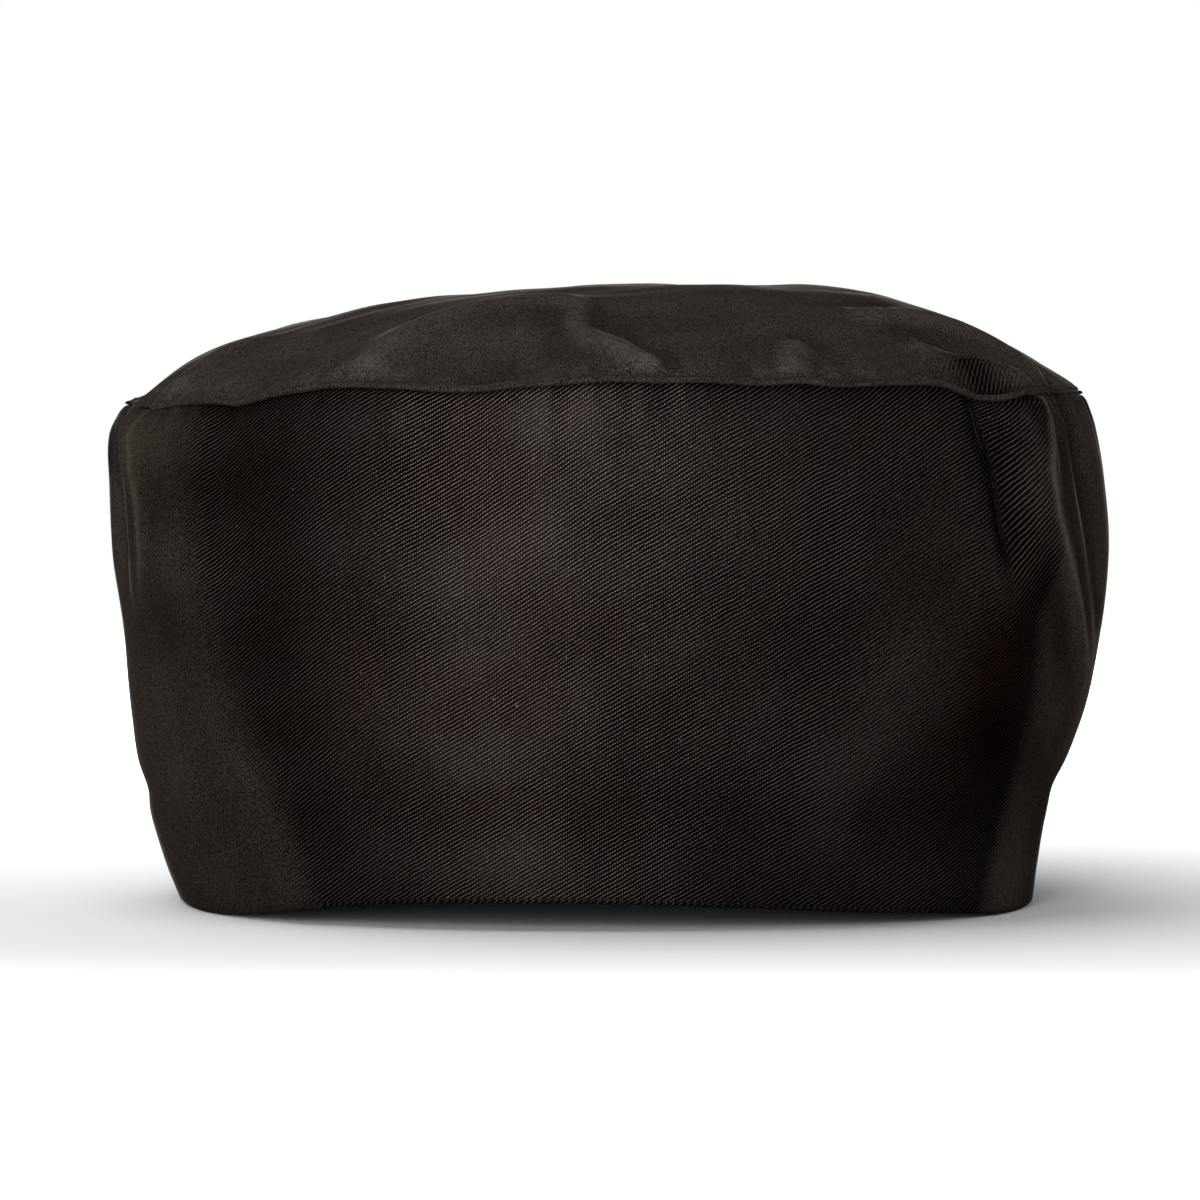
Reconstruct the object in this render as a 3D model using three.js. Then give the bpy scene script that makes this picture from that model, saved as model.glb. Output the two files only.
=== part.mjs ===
// A chef's skull cap in dark twill, standing on its hem: a deep band sewn round a soft, puffed top panel, with an
// elasticated casing gathered along the back of the hem.
// Millimetres, +Z up. X runs left to right, the front faces -Y, and z = 0 is the surface that the hem rests on.
// A place on the band is given by turn, the share of the way round from the centre front by way of +X, and by up,
// the share of the way from hem to seam. A place on the top panel is given by turn and by share, which is 0 at the
// middle of the crown and 1 at the seam.
import * as THREE from "three";

// Sizes of the whole cap.
const crownWidth = 210; // widest bulge of the band, left to right
const crownDepth = 200; // widest bulge of the band, front to back
const bandHeight = 101.5; // hem to seam, where the hem touches the table
const frontLift = 5; // how far the middle of the front hem arches clear of the table
const domeRise = 23.5; // top of the crown above the seam

// Cloth and seams.
const bandWall = 2; // two layers of twill
const topWall = 1.5;
const hemFlatShare = 0.6; // part of the wall's thickness that is flat under the hem
const casingHeight = 24; // gathered casing of the elastic, above the back hem
const casingNip = 1.6; // how far the casing's upper stitching draws the cloth in
const casingNipSpread = 3.5;
const gatherDepth = 1.7;
const gatherCount = 10;
const lipProud = 0.9; // the top panel's rolled edge stands this far out over the band
const lipHeight = 1.7;
const seamGap = 0.3; // clearance between the band's upper edge and the top panel

const halfWidth = crownWidth / 2;
const halfDepth = crownDepth / 2;

// Level sections of the band. left and right are shares of halfWidth, front and back of halfDepth. The powers say
// how square the front and back halves of the section are.
const sections = [
  { up: 0.0, left: 0.849, right: 0.847, front: 0.77, back: 0.64, frontPower: 2.3, backPower: 2.0 },
  { up: 0.08, left: 0.881, right: 0.857, front: 0.785, back: 0.66, frontPower: 2.32, backPower: 2.0 },
  { up: 0.18, left: 0.912, right: 0.876, front: 0.8, back: 0.72, frontPower: 2.35, backPower: 2.05 },
  { up: 0.28, left: 0.935, right: 0.915, front: 0.82, back: 0.8, frontPower: 2.4, backPower: 2.1 },
  { up: 0.4, left: 0.949, right: 0.955, front: 0.84, back: 0.9, frontPower: 2.45, backPower: 2.1 },
  { up: 0.55, left: 0.96, right: 0.982, front: 0.865, back: 0.96, frontPower: 2.45, backPower: 2.1 },
  { up: 0.7, left: 0.983, right: 0.993, front: 0.89, back: 0.98, frontPower: 2.45, backPower: 2.1 },
  { up: 0.84, left: 0.989, right: 0.983, front: 0.905, back: 0.97, frontPower: 2.4, backPower: 2.1 },
  { up: 0.94, left: 0.988, right: 0.964, front: 0.905, back: 0.945, frontPower: 2.35, backPower: 2.1 },
  { up: 1.0, left: 0.96, right: 0.942, front: 0.895, back: 0.915, frontPower: 2.3, backPower: 2.1 },
];

// Height of the hem above the table and of the seam above bandHeight, as shares of frontLift.
const hemLift = [
  { turn: 0.0, lift: 1.1 },
  { turn: 0.05, lift: 0.9 },
  { turn: 0.09, lift: 0.64 },
  { turn: 0.135, lift: 0.4 },
  { turn: 0.19, lift: 0.0 },
  { turn: 0.3, lift: 0.0 },
  { turn: 0.7, lift: 0.0 },
  { turn: 0.81, lift: 0.0 },
  { turn: 0.835, lift: 0.16 },
  { turn: 0.877, lift: 0.65 },
  { turn: 0.92, lift: 1.02 },
  { turn: 0.96, lift: 1.12 },
];
const seamLift = [
  { turn: 0.0, lift: 1.25 },
  { turn: 0.06, lift: 1.15 },
  { turn: 0.11, lift: 1.08 },
  { turn: 0.137, lift: 0.52 },
  { turn: 0.158, lift: 0.8 },
  { turn: 0.25, lift: 0.8 },
  { turn: 0.5, lift: 0.6 },
  { turn: 0.75, lift: 0.38 },
  { turn: 0.828, lift: 0.2 },
  { turn: 0.865, lift: 0.35 },
  { turn: 0.895, lift: 0.85 },
  { turn: 0.92, lift: 1.02 },
  { turn: 0.95, lift: 0.86 },
  { turn: 0.98, lift: 1.05 },
];

// Folds and dents of the band, each along a line from one place to another that bows sideways to its middle.
// width, bow, height and endHeight are shares of halfWidth. Heights stand out of the cloth; a dent's are negative.
const bandFolds = [
  { name: "left corner ridge", fromTurn: 0.812, fromUp: 0.97, toTurn: 0.832, toUp: 0.58, bow: 0.03, width: 0.05, height: 0.022, endHeight: 0 },
  { name: "left corner hollow", fromTurn: 0.788, fromUp: 0.9, toTurn: 0.804, toUp: 0.62, bow: 0.03, width: 0.06, height: -0.042, endHeight: -0.008 },
  { name: "left back bulge", fromTurn: 0.752, fromUp: 0.88, toTurn: 0.76, toUp: 0.6, bow: 0, width: 0.12, height: 0.006, endHeight: 0.004 },
  { name: "left front edge", fromTurn: 0.848, fromUp: 0.9, toTurn: 0.872, toUp: 0.04, bow: 0, width: 0.08, height: 0.008, endHeight: 0.016 },
  { name: "left front dent", fromTurn: 0.893, fromUp: 0.93, toTurn: 0.905, toUp: 0.78, bow: 0, width: 0.15, height: -0.02, endHeight: -0.016 },
  { name: "left front valley", fromTurn: 0.92, fromUp: 1.0, toTurn: 0.886, toUp: 0.05, bow: -0.04, width: 0.1, height: -0.02, endHeight: -0.018 },
  { name: "front low dent", fromTurn: 0.02, fromUp: 0.2, toTurn: 0.07, toUp: 0.06, bow: 0, width: 0.22, height: -0.012, endHeight: -0.014 },
  { name: "right corner hollow", fromTurn: 0.126, fromUp: 0.93, toTurn: 0.131, toUp: 0.66, bow: 0, width: 0.05, height: -0.05, endHeight: 0 },
  { name: "right corner roll", fromTurn: 0.146, fromUp: 0.96, toTurn: 0.144, toUp: 0.62, bow: 0, width: 0.055, height: 0.022, endHeight: 0 },
  { name: "right corner ridge", fromTurn: 0.166, fromUp: 0.99, toTurn: 0.194, toUp: 0.48, bow: -0.09, width: 0.042, height: 0.022, endHeight: 0.006 },
  { name: "right back hollow", fromTurn: 0.187, fromUp: 0.97, toTurn: 0.216, toUp: 0.52, bow: -0.08, width: 0.06, height: -0.03, endHeight: -0.006 },
  { name: "right front edge", fromTurn: 0.15, fromUp: 0.68, toTurn: 0.083, toUp: 0.18, bow: -0.09, width: 0.12, height: 0.004, endHeight: 0.016 },
  { name: "right low tuck", fromTurn: 0.15, fromUp: 0.34, toTurn: 0.2, toUp: 0.24, bow: 0, width: 0.12, height: -0.014, endHeight: -0.014 },
  { name: "back left crush", fromTurn: 0.7, fromUp: 0.86, toTurn: 0.64, toUp: 0.5, bow: 0.1, width: 0.12, height: -0.022, endHeight: -0.012 },
  { name: "back right crush", fromTurn: 0.31, fromUp: 0.9, toTurn: 0.35, toUp: 0.52, bow: -0.1, width: 0.1, height: -0.022, endHeight: -0.01 },
];

// Folds of the top panel between places in plan. x is a share of halfWidth and y of halfDepth; the rest are shares
// of halfWidth, as above.
const topFolds = [
  { name: "left shoulder", fromX: -0.8, fromY: -0.3, toX: -0.66, toY: 0.1, bow: 0, width: 0.13, height: 0.016, endHeight: 0.01 },
  { name: "left edge rise", fromX: -0.84, fromY: -0.47, toX: -0.7, toY: -0.34, bow: 0, width: 0.05, height: 0.012, endHeight: 0.008 },
  { name: "left rise", fromX: -0.52, fromY: -0.74, toX: -0.16, toY: -0.52, bow: 0.04, width: 0.07, height: 0.016, endHeight: 0.008 },
  { name: "front hollow", fromX: -0.22, fromY: -0.82, toX: -0.04, toY: -0.66, bow: 0, width: 0.1, height: -0.024, endHeight: -0.014 },
  { name: "front rise", fromX: -0.02, fromY: -0.56, toX: 0.1, toY: -0.86, bow: -0.04, width: 0.05, height: 0.01, endHeight: 0.014 },
  { name: "front pucker", fromX: 0.35, fromY: -0.74, toX: 0.33, toY: -0.86, bow: 0, width: 0.045, height: 0.014, endHeight: 0.008 },
  { name: "right shoulder", fromX: 0.5, fromY: -0.25, toX: 0.42, toY: 0.15, bow: 0, width: 0.16, height: 0.01, endHeight: 0.008 },
  { name: "right long rise", fromX: 0.52, fromY: -0.5, toX: 0.8, toY: -0.4, bow: 0.04, width: 0.055, height: 0.016, endHeight: 0.012 },
  { name: "right short rise", fromX: 0.6, fromY: -0.6, toX: 0.78, toY: -0.54, bow: 0, width: 0.04, height: 0.012, endHeight: 0.01 },
  { name: "right sink", fromX: 0.66, fromY: -0.68, toX: 0.76, toY: -0.62, bow: 0, width: 0.07, height: -0.018, endHeight: -0.018 },
  { name: "back fold", fromX: -0.35, fromY: 0.5, toX: 0.3, toY: 0.62, bow: 0.1, width: 0.1, height: -0.022, endHeight: -0.016 },
  { name: "back rise", fromX: 0.5, fromY: 0.3, toX: 0.62, toY: 0.62, bow: 0.05, width: 0.08, height: 0.014, endHeight: 0.012 },
  { name: "left back sink", fromX: -0.62, fromY: 0.42, toX: -0.44, toY: 0.22, bow: 0, width: 0.12, height: -0.018, endHeight: -0.014 },
];
const topMiddle = { x: 0.14, y: -0.05 }; // shares of halfWidth and halfDepth
const topMiddleLift = 0.6; // as seamLift
const edgeSettle = 7; // power of share by which the panel takes up the folds of its edge
const liftSettle = 4; // and the rise and droop of its edge
const domePower = 2.6;
const domeFullness = 0.9;
const topFoldFade = 0.04; // share of the panel next to the seam in which its folds die out

// The gathers lie between these turns, die out within endFade of them, and thin out above the casing.
const gathers = { from: 0.36, to: 0.64, endFade: 0.14, wander: 0.02, wanders: 3, hemShare: 0.75, reach: 0.36 };
const casing = { from: 0.2, to: 0.8, endFade: 0.1 };

// Columns of facets from one turn to the next: closer where the folds and gathers are narrow.
const columnSpans = [
  { to: 0.11, columns: 14 },
  { to: 0.22, columns: 28 },
  { to: 0.36, columns: 16 },
  { to: 0.64, columns: 50 },
  { to: 0.77, columns: 14 },
  { to: 0.84, columns: 14 },
  { to: 0.92, columns: 12 },
  { to: 1.0, columns: 9 },
];
const bandOuterRows = [0.016, 0.1, 0.18, 0.24, 0.3, 0.39, 0.5, 0.61, 0.72, 0.82, 0.91, 1];
const bandInnerRows = [1, 0.93, 0.8, 0.64, 0.48, 0.36, 0.24, 0.16, 0.03];
const topOuterRows = [0.2, 0.42, 0.6, 0.74, 0.85, 0.92, 0.97];
const topInnerRows = [0.96, 0.88, 0.76, 0.58, 0.32];

const sectionSteps = 1440; // points used to measure the length of a section
const probe = 0.004; // share of the way round or up over which a slope is taken

const clamp01 = (x) => Math.min(1, Math.max(0, x));
const mix = (a, b, t) => a + (b - a) * t;
const easeIn = (x) => clamp01(x) ** 2 * (3 - 2 * clamp01(x));
const wrap = (turn) => turn - Math.floor(turn);

// Values of the named columns at a place in the key column, joined smoothly through the rows.
function readTable(rows, key, at, columns) {
  const place = Math.min(Math.max(at, rows[0][key]), rows[rows.length - 1][key]);
  let i = 0;
  while (i < rows.length - 2 && rows[i + 1][key] <= place) i += 1;
  const slope = (k, column) => {
    const a = rows[Math.max(k - 1, 0)];
    const b = rows[Math.min(k + 1, rows.length - 1)];
    return (b[column] - a[column]) / (b[key] - a[key]);
  };
  const span = rows[i + 1][key] - rows[i][key];
  const s = (place - rows[i][key]) / span;
  const found = {};
  for (const column of columns) {
    found[column] =
      (2 * s ** 3 - 3 * s ** 2 + 1) * rows[i][column] +
      (s ** 3 - 2 * s ** 2 + s) * span * slope(i, column) +
      (3 * s ** 2 - 2 * s ** 3) * rows[i + 1][column] +
      (s ** 3 - s ** 2) * span * slope(i + 1, column);
  }
  return found;
}

// A lift table read round the cap, where its last row meets its first again.
function readLift(rows, turn) {
  const before = { turn: rows[rows.length - 1].turn - 1, lift: rows[rows.length - 1].lift };
  const after = [rows[0], rows[1]].map((row) => ({ turn: row.turn + 1, lift: row.lift }));
  const { lift } = readTable([before, ...rows, ...after], "turn", wrap(turn), ["lift"]);
  return Math.max(0, lift) * frontLift;
}

// A level section as points at even steps of angle, each with its share of the length round.
const sectionStore = new Map();
function section(up) {
  if (sectionStore.has(up)) return sectionStore.get(up);
  const row = readTable(sections, "up", up, ["left", "right", "front", "back", "frontPower", "backPower"]);
  const points = [];
  let length = 0;
  for (let i = 0; i <= sectionSteps; i += 1) {
    const angle = (2 * Math.PI * i) / sectionSteps;
    const s = Math.sin(angle);
    const c = Math.cos(angle);
    const sideways = (s > 0 ? row.right : row.left) * halfWidth;
    const lengthways = (c > 0 ? row.front : row.back) * halfDepth;
    const power = c > 0 ? row.frontPower : row.backPower;
    const r = (Math.abs(s / sideways) ** power + Math.abs(c / lengthways) ** power) ** (-1 / power);
    const x = r * s;
    const y = -r * c;
    if (i > 0) length += Math.hypot(x - points[i - 1].x, y - points[i - 1].y);
    points.push({ x, y, length });
  }
  const made = { points, length };
  sectionStore.set(up, made);
  return made;
}

function sectionPoint(turn, up) {
  const { points, length } = section(up);
  const along = wrap(turn) * length;
  let low = 0;
  let high = sectionSteps;
  while (high - low > 1) {
    const middle = (low + high) >> 1;
    if (points[middle].length <= along) low = middle;
    else high = middle;
  }
  const share = (along - points[low].length) / (points[high].length - points[low].length);
  return { x: mix(points[low].x, points[high].x, share), y: mix(points[low].y, points[high].y, share) };
}

// How far one fold pushes the cloth out at a place (x, y), all in millimetres.
function foldHeight(x, y, x0, y0, x1, y1, fold) {
  const dx = x1 - x0;
  const dy = y1 - y0;
  const long = Math.hypot(dx, dy);
  const s = clamp01(((x - x0) * dx + (y - y0) * dy) / long ** 2);
  const bow = fold.bow * halfWidth * 4 * s * (1 - s);
  const away = Math.hypot(x - x0 - dx * s + (bow * dy) / long, y - y0 - dy * s - (bow * dx) / long);
  return mix(fold.height, fold.endHeight, s) * halfWidth * Math.exp(-((away / (fold.width * halfWidth)) ** 2));
}

// Millimetres round the band, used to lay its folds out flat.
const flatRound = Math.PI * (halfWidth + halfDepth) * 0.94;

function gatherHeight(turn, up) {
  const s = (wrap(turn) - gathers.from) / (gathers.to - gathers.from);
  const ends = easeIn(Math.min(s, 1 - s) / gathers.endFade);
  const top = casingHeight / bandHeight;
  const level = up < top ? mix(gathers.hemShare, 1, up / top) : 1 - easeIn((up - top) / gathers.reach);
  const phase = s + gathers.wander * Math.sin(2 * Math.PI * gathers.wanders * s);
  return gatherDepth * ends * level * Math.sin(2 * Math.PI * gatherCount * phase);
}

function casingHeightPull(turn, up) {
  const s = (wrap(turn) - casing.from) / (casing.to - casing.from);
  const ends = easeIn(Math.min(s, 1 - s) / casing.endFade);
  return -casingNip * ends * Math.exp(-(((up * bandHeight - casingHeight) / casingNipSpread) ** 2));
}

function bandPush(turn, up) {
  let push = gatherHeight(turn, up) + casingHeightPull(turn, up);
  for (const fold of bandFolds) {
    const middle = (fold.fromTurn + fold.toTurn) / 2;
    const near = wrap(turn - middle + 0.5) - 0.5 + middle;
    push += foldHeight(
      near * flatRound,
      up * bandHeight,
      fold.fromTurn * flatRound,
      fold.fromUp * bandHeight,
      fold.toTurn * flatRound,
      fold.toUp * bandHeight,
      fold,
    );
  }
  return push;
}

// A point of the band's outer face.
function bandPoint(turn, up, push = bandPush(turn, up)) {
  const at = sectionPoint(turn, up);
  const before = sectionPoint(turn - probe, up);
  const after = sectionPoint(turn + probe, up);
  const run = Math.hypot(after.x - before.x, after.y - before.y);
  const lift = mix(readLift(hemLift, turn), readLift(seamLift, turn), up);
  return new THREE.Vector3(
    at.x + (push * (after.y - before.y)) / run,
    at.y - (push * (after.x - before.x)) / run,
    up * bandHeight + lift,
  );
}

// The outward direction of a surface at a place, from points a little to either side.
function outward(surface, turn, along) {
  const low = Math.max(along - probe, 0);
  const high = Math.min(along + probe, 1);
  const round = surface(turn + probe, along).sub(surface(turn - probe, along));
  return round.cross(surface(turn, high).sub(surface(turn, low))).normalize();
}

function topPush(x, y, share) {
  let push = 0;
  for (const fold of topFolds) {
    push += foldHeight(
      x,
      y,
      fold.fromX * halfWidth,
      fold.fromY * halfDepth,
      fold.toX * halfWidth,
      fold.toY * halfDepth,
      fold,
    );
  }
  return push * easeIn((1 - share) / topFoldFade);
}

// A point of the top panel's outer face.
function topPoint(turn, share) {
  const middle = bandHeight + topMiddleLift * frontLift;
  const edge = bandPoint(turn, 1, bandPush(turn, 1) * share ** edgeSettle);
  const x = mix(topMiddle.x * halfWidth, edge.x, share);
  const y = mix(topMiddle.y * halfDepth, edge.y, share);
  const dome = domeRise * (1 - share ** domePower) ** domeFullness;
  const base = mix(middle, edge.z, share ** liftSettle) + seamGap;
  return new THREE.Vector3(x, y, base + dome + topPush(x, y, share));
}

// The turns of the columns of facets, the same for both pieces.
function columnTurns() {
  const turns = [];
  let from = 0;
  for (const span of columnSpans) {
    for (let i = 0; i < span.columns; i += 1) turns.push(mix(from, span.to, i / span.columns));
    from = span.to;
  }
  return turns;
}
const turns = columnTurns();

// Outward direction of the seam, level with the table.
function seamOutward(turn) {
  const round = bandPoint(turn + probe, 1).sub(bandPoint(turn - probe, 1));
  return new THREE.Vector3(round.y, -round.x, 0).normalize();
}

// A closed body from rings of points. A ring of one point is a pole; loop joins the last ring to the first.
function bodyFromRings(rings, loop) {
  const positions = [];
  const starts = [];
  for (const ring of rings) {
    starts.push(positions.length / 3);
    for (const point of ring) positions.push(point.x, point.y, point.z);
  }
  const faces = [];
  const pairs = loop ? rings.length : rings.length - 1;
  for (let j = 0; j < pairs; j += 1) {
    const k = (j + 1) % rings.length;
    const count = Math.max(rings[j].length, rings[k].length);
    for (let i = 0; i < count; i += 1) {
      const n = (i + 1) % count;
      const at = (ring, index) => starts[ring] + (rings[ring].length === 1 ? 0 : index);
      if (rings[j].length > 1) faces.push(at(j, i), at(j, n), at(k, i));
      if (rings[k].length > 1) faces.push(at(j, n), at(k, n), at(k, i));
    }
  }
  const geometry = new THREE.BufferGeometry();
  geometry.setAttribute("position", new THREE.Float32BufferAttribute(positions, 3));
  geometry.setIndex(faces);
  geometry.computeVertexNormals();
  return geometry;
}

function bandGeometry() {
  const inner = (turn, up) => bandPoint(turn, up).addScaledVector(outward(bandPoint, turn, up), -bandWall);
  // The fold of the hem ends in a narrow flat, which is what the cap stands on.
  const hem = (share) =>
    turns.map((turn) => {
      const inwards = bandWall * (0.5 + share * hemFlatShare);
      return bandPoint(turn, 0).addScaledVector(outward(bandPoint, turn, 0).setZ(0).normalize(), -inwards);
    });
  const outer = bandOuterRows.map((up) => turns.map((turn) => bandPoint(turn, up)));
  const inside = bandInnerRows.map((up) =>
    turns.map((turn) => {
      if (up < 1) return inner(turn, up);
      return bandPoint(turn, 1).addScaledVector(seamOutward(turn), -bandWall);
    }),
  );
  return bodyFromRings([hem(0.5), hem(-0.5), ...outer, ...inside], true);
}

function topGeometry() {
  const inner = (turn, share) =>
    topPoint(turn, share).addScaledVector(outward(topPoint, turn, share), topWall);
  const middle = topPoint(0, 0);
  const lip = (turn, out, up) => {
    const seam = bandPoint(turn, 1);
    seam.z += seamGap + up;
    return seam.addScaledVector(seamOutward(turn), out);
  };
  const rings = [
    [middle],
    ...topOuterRows.map((share) => turns.map((turn) => topPoint(turn, share))),
    turns.map((turn) => lip(turn, lipProud, lipHeight * 0.6)),
    turns.map((turn) => lip(turn, lipProud * 0.6, 0)),
    turns.map((turn) => lip(turn, -bandWall, 0)),
    ...topInnerRows.map((share) => turns.map((turn) => inner(turn, share))),
    [middle.clone().setZ(middle.z - topWall)],
  ];
  return bodyFromRings(rings.reverse(), false);
}

const twill = new THREE.MeshStandardMaterial({ color: 0x1d1816, roughness: 0.92, metalness: 0 });
const brushedTwill = new THREE.MeshStandardMaterial({ color: 0x211c19, roughness: 0.95, metalness: 0 });

// The cap stands centred on the origin, by the widest of its sections.
const widest = (column) => Math.max(...sections.map((row) => row[column]));
const cap = new THREE.Group();
cap.position.x = ((widest("left") - widest("right")) / 2) * halfWidth;
cap.position.y = ((widest("front") - widest("back")) / 2) * halfDepth;

const sideBand = new THREE.Mesh(bandGeometry(), twill);
sideBand.name = "side_band";
cap.add(sideBand);

const topPanel = new THREE.Mesh(topGeometry(), brushedTwill);
topPanel.name = "top_panel";
cap.add(topPanel);

export default cap;
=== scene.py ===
"""Looks of the chef's skull cap: a deep band of dark twill and a puffed top panel, standing on the hem.

Lengths below are in millimetres until they reach Blender, which works in metres, and those that a material
reads are in metres. A place on the band is a turn, the share of the way round from the centre front by way of
+X, and up, the share of the way from hem to seam. A place on the top panel is a turn and a share, 0 in the
middle of the crown and 1 at the seam.
"""
import math
from collections import namedtuple

import bpy
import numpy as np
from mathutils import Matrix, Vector


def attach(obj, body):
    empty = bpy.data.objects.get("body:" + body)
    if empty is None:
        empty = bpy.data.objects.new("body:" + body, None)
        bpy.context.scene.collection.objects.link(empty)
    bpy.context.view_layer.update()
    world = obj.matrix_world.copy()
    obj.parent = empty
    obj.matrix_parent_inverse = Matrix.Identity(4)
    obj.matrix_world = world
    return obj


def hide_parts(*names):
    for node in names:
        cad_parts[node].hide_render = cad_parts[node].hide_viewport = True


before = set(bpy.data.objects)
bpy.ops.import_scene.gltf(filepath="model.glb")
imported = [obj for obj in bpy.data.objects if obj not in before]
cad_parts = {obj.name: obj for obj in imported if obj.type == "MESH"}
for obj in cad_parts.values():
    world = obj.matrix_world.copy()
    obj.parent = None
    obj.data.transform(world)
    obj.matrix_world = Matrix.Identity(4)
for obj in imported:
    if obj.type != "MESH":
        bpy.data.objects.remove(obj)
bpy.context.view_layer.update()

MM = 0.001

# Sizes of the whole cap.
CROWN_WIDTH = 210.0
CROWN_DEPTH = 200.0
BAND_HEIGHT = 101.5
FRONT_LIFT = 5.0
DOME_RISE = 23.5
HALF_WIDTH = CROWN_WIDTH / 2
HALF_DEPTH = CROWN_DEPTH / 2

# Cloth and seams.
BAND_WALL = 2.0
TOP_WALL = 1.5
CASING_HEIGHT = 24.0
CASING_NIP = 1.6
CASING_NIP_SPREAD = 3.5
GATHER_DEPTH = 1.7
GATHER_COUNT = 10
SEAM_GAP = 0.3

Section = namedtuple("Section", "up left right front back front_power back_power")
SECTIONS = [
    Section(0.00, 0.849, 0.847, 0.770, 0.64, 2.30, 2.00),
    Section(0.08, 0.881, 0.857, 0.785, 0.66, 2.32, 2.00),
    Section(0.18, 0.912, 0.876, 0.800, 0.72, 2.35, 2.05),
    Section(0.28, 0.935, 0.915, 0.820, 0.80, 2.40, 2.10),
    Section(0.40, 0.949, 0.955, 0.840, 0.90, 2.45, 2.10),
    Section(0.55, 0.960, 0.982, 0.865, 0.96, 2.45, 2.10),
    Section(0.70, 0.983, 0.993, 0.890, 0.98, 2.45, 2.10),
    Section(0.84, 0.989, 0.983, 0.905, 0.97, 2.40, 2.10),
    Section(0.94, 0.988, 0.964, 0.905, 0.945, 2.35, 2.10),
    Section(1.00, 0.960, 0.942, 0.895, 0.915, 2.30, 2.10),
]

# Turn and height, as a share of FRONT_LIFT, of the hem above the table and of the seam above BAND_HEIGHT.
HEM_LIFT = [
    (0.0, 1.1), (0.05, 0.9), (0.09, 0.64), (0.135, 0.4), (0.19, 0.0), (0.3, 0.0), (0.7, 0.0), (0.81, 0.0),
    (0.835, 0.16), (0.877, 0.65), (0.92, 1.02), (0.96, 1.12),
]
SEAM_LIFT = [
    (0.0, 1.25), (0.015, 1.2), (0.03, 1.21), (0.05, 1.1), (0.062, 1.18), (0.075, 1.04), (0.095, 1.12),
    (0.112, 1.08), (0.122, 0.78), (0.13, 0.55), (0.138, 0.5), (0.15, 0.74), (0.164, 0.83), (0.2, 0.8),
    (0.25, 0.8), (0.5, 0.6), (0.75, 0.38), (0.8, 0.35), (0.828, 0.18), (0.84, 0.32), (0.862, 0.38),
    (0.87, 0.32), (0.886, 0.7), (0.898, 0.9), (0.912, 1.03), (0.932, 0.96), (0.946, 0.85), (0.958, 0.84),
    (0.968, 0.98), (0.985, 1.12),
]

# A fold runs from one place to another and bows sideways to its middle. On the band, a and b are turn and up;
# on the top panel they are shares of HALF_WIDTH and HALF_DEPTH in plan. bow, width and the heights are shares
# of HALF_WIDTH.
Fold = namedtuple("Fold", "name from_a from_b to_a to_b bow width height end_height")
BAND_FOLDS = [
    Fold("left corner ridge", 0.812, 0.97, 0.832, 0.58, 0.03, 0.05, 0.014, 0),
    Fold("left corner hollow", 0.788, 0.9, 0.804, 0.62, 0.03, 0.06, -0.042, -0.008),
    Fold("left back bulge", 0.752, 0.88, 0.76, 0.6, 0, 0.12, 0.006, 0.004),
    Fold("left front edge", 0.848, 0.9, 0.872, 0.04, 0, 0.08, 0.008, 0.016),
    Fold("left front dent", 0.885, 0.93, 0.892, 0.76, 0, 0.2, -0.011, -0.01),
    Fold("left front valley", 0.905, 1.0, 0.884, 0.05, -0.04, 0.13, -0.011, -0.014),
    Fold("front low dent", 0.02, 0.2, 0.07, 0.06, 0, 0.22, -0.012, -0.014),
    Fold("right corner hollow", 0.129, 0.93, 0.132, 0.66, 0, 0.05, -0.024, 0),
    Fold("right corner roll", 0.146, 0.96, 0.144, 0.62, 0, 0.055, 0.022, 0),
    Fold("right corner ridge", 0.158, 0.99, 0.19, 0.48, -0.09, 0.04, 0.015, 0.006),
    Fold("right back hollow", 0.187, 0.97, 0.216, 0.52, -0.08, 0.06, -0.03, -0.006),
    Fold("right front edge", 0.15, 0.68, 0.083, 0.18, -0.09, 0.12, 0.004, 0.016),
    Fold("right low tuck", 0.15, 0.34, 0.2, 0.24, 0, 0.12, -0.014, -0.014),
    Fold("back left crush", 0.7, 0.86, 0.64, 0.5, 0.1, 0.12, -0.022, -0.012),
    Fold("back right crush", 0.31, 0.9, 0.35, 0.52, -0.1, 0.1, -0.022, -0.01),
]
TOP_FOLDS = [
    Fold("left shoulder", -0.8, -0.3, -0.66, 0.1, 0, 0.13, 0.014, 0.008),
    Fold("left edge sink", -0.92, -0.3, -0.92, 0.2, 0, 0.07, -0.018, -0.018),
    Fold("left edge rise", -0.84, -0.47, -0.7, -0.34, 0, 0.05, 0.022, 0.014),
    Fold("left rise", -0.45, -0.78, -0.1, -0.5, 0.04, 0.06, 0.034, 0.018),
    Fold("front hollow", -0.22, -0.82, -0.04, -0.66, 0, 0.1, -0.044, -0.026),
    Fold("front rise", -0.06, -0.55, 0.07, -0.87, -0.04, 0.036, 0.016, 0.03),
    Fold("front pucker", 0.35, -0.76, 0.33, -0.87, 0, 0.035, 0.014, 0.014),
    Fold("right shoulder", 0.5, -0.25, 0.42, 0.15, 0, 0.16, 0.014, 0.011),
    Fold("right long rise", 0.52, -0.5, 0.8, -0.4, 0.04, 0.055, 0.029, 0.022),
    Fold("right short rise", 0.6, -0.6, 0.78, -0.54, 0, 0.04, 0.022, 0.018),
    Fold("right sink", 0.66, -0.68, 0.76, -0.62, 0, 0.07, -0.033, -0.033),
    Fold("back fold", -0.35, 0.5, 0.3, 0.62, 0.1, 0.1, -0.04, -0.029),
    Fold("back rise", 0.5, 0.3, 0.62, 0.62, 0.05, 0.08, 0.026, 0.022),
    Fold("left back sink", -0.62, 0.42, -0.44, 0.22, 0, 0.12, -0.033, -0.026),
]
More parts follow.
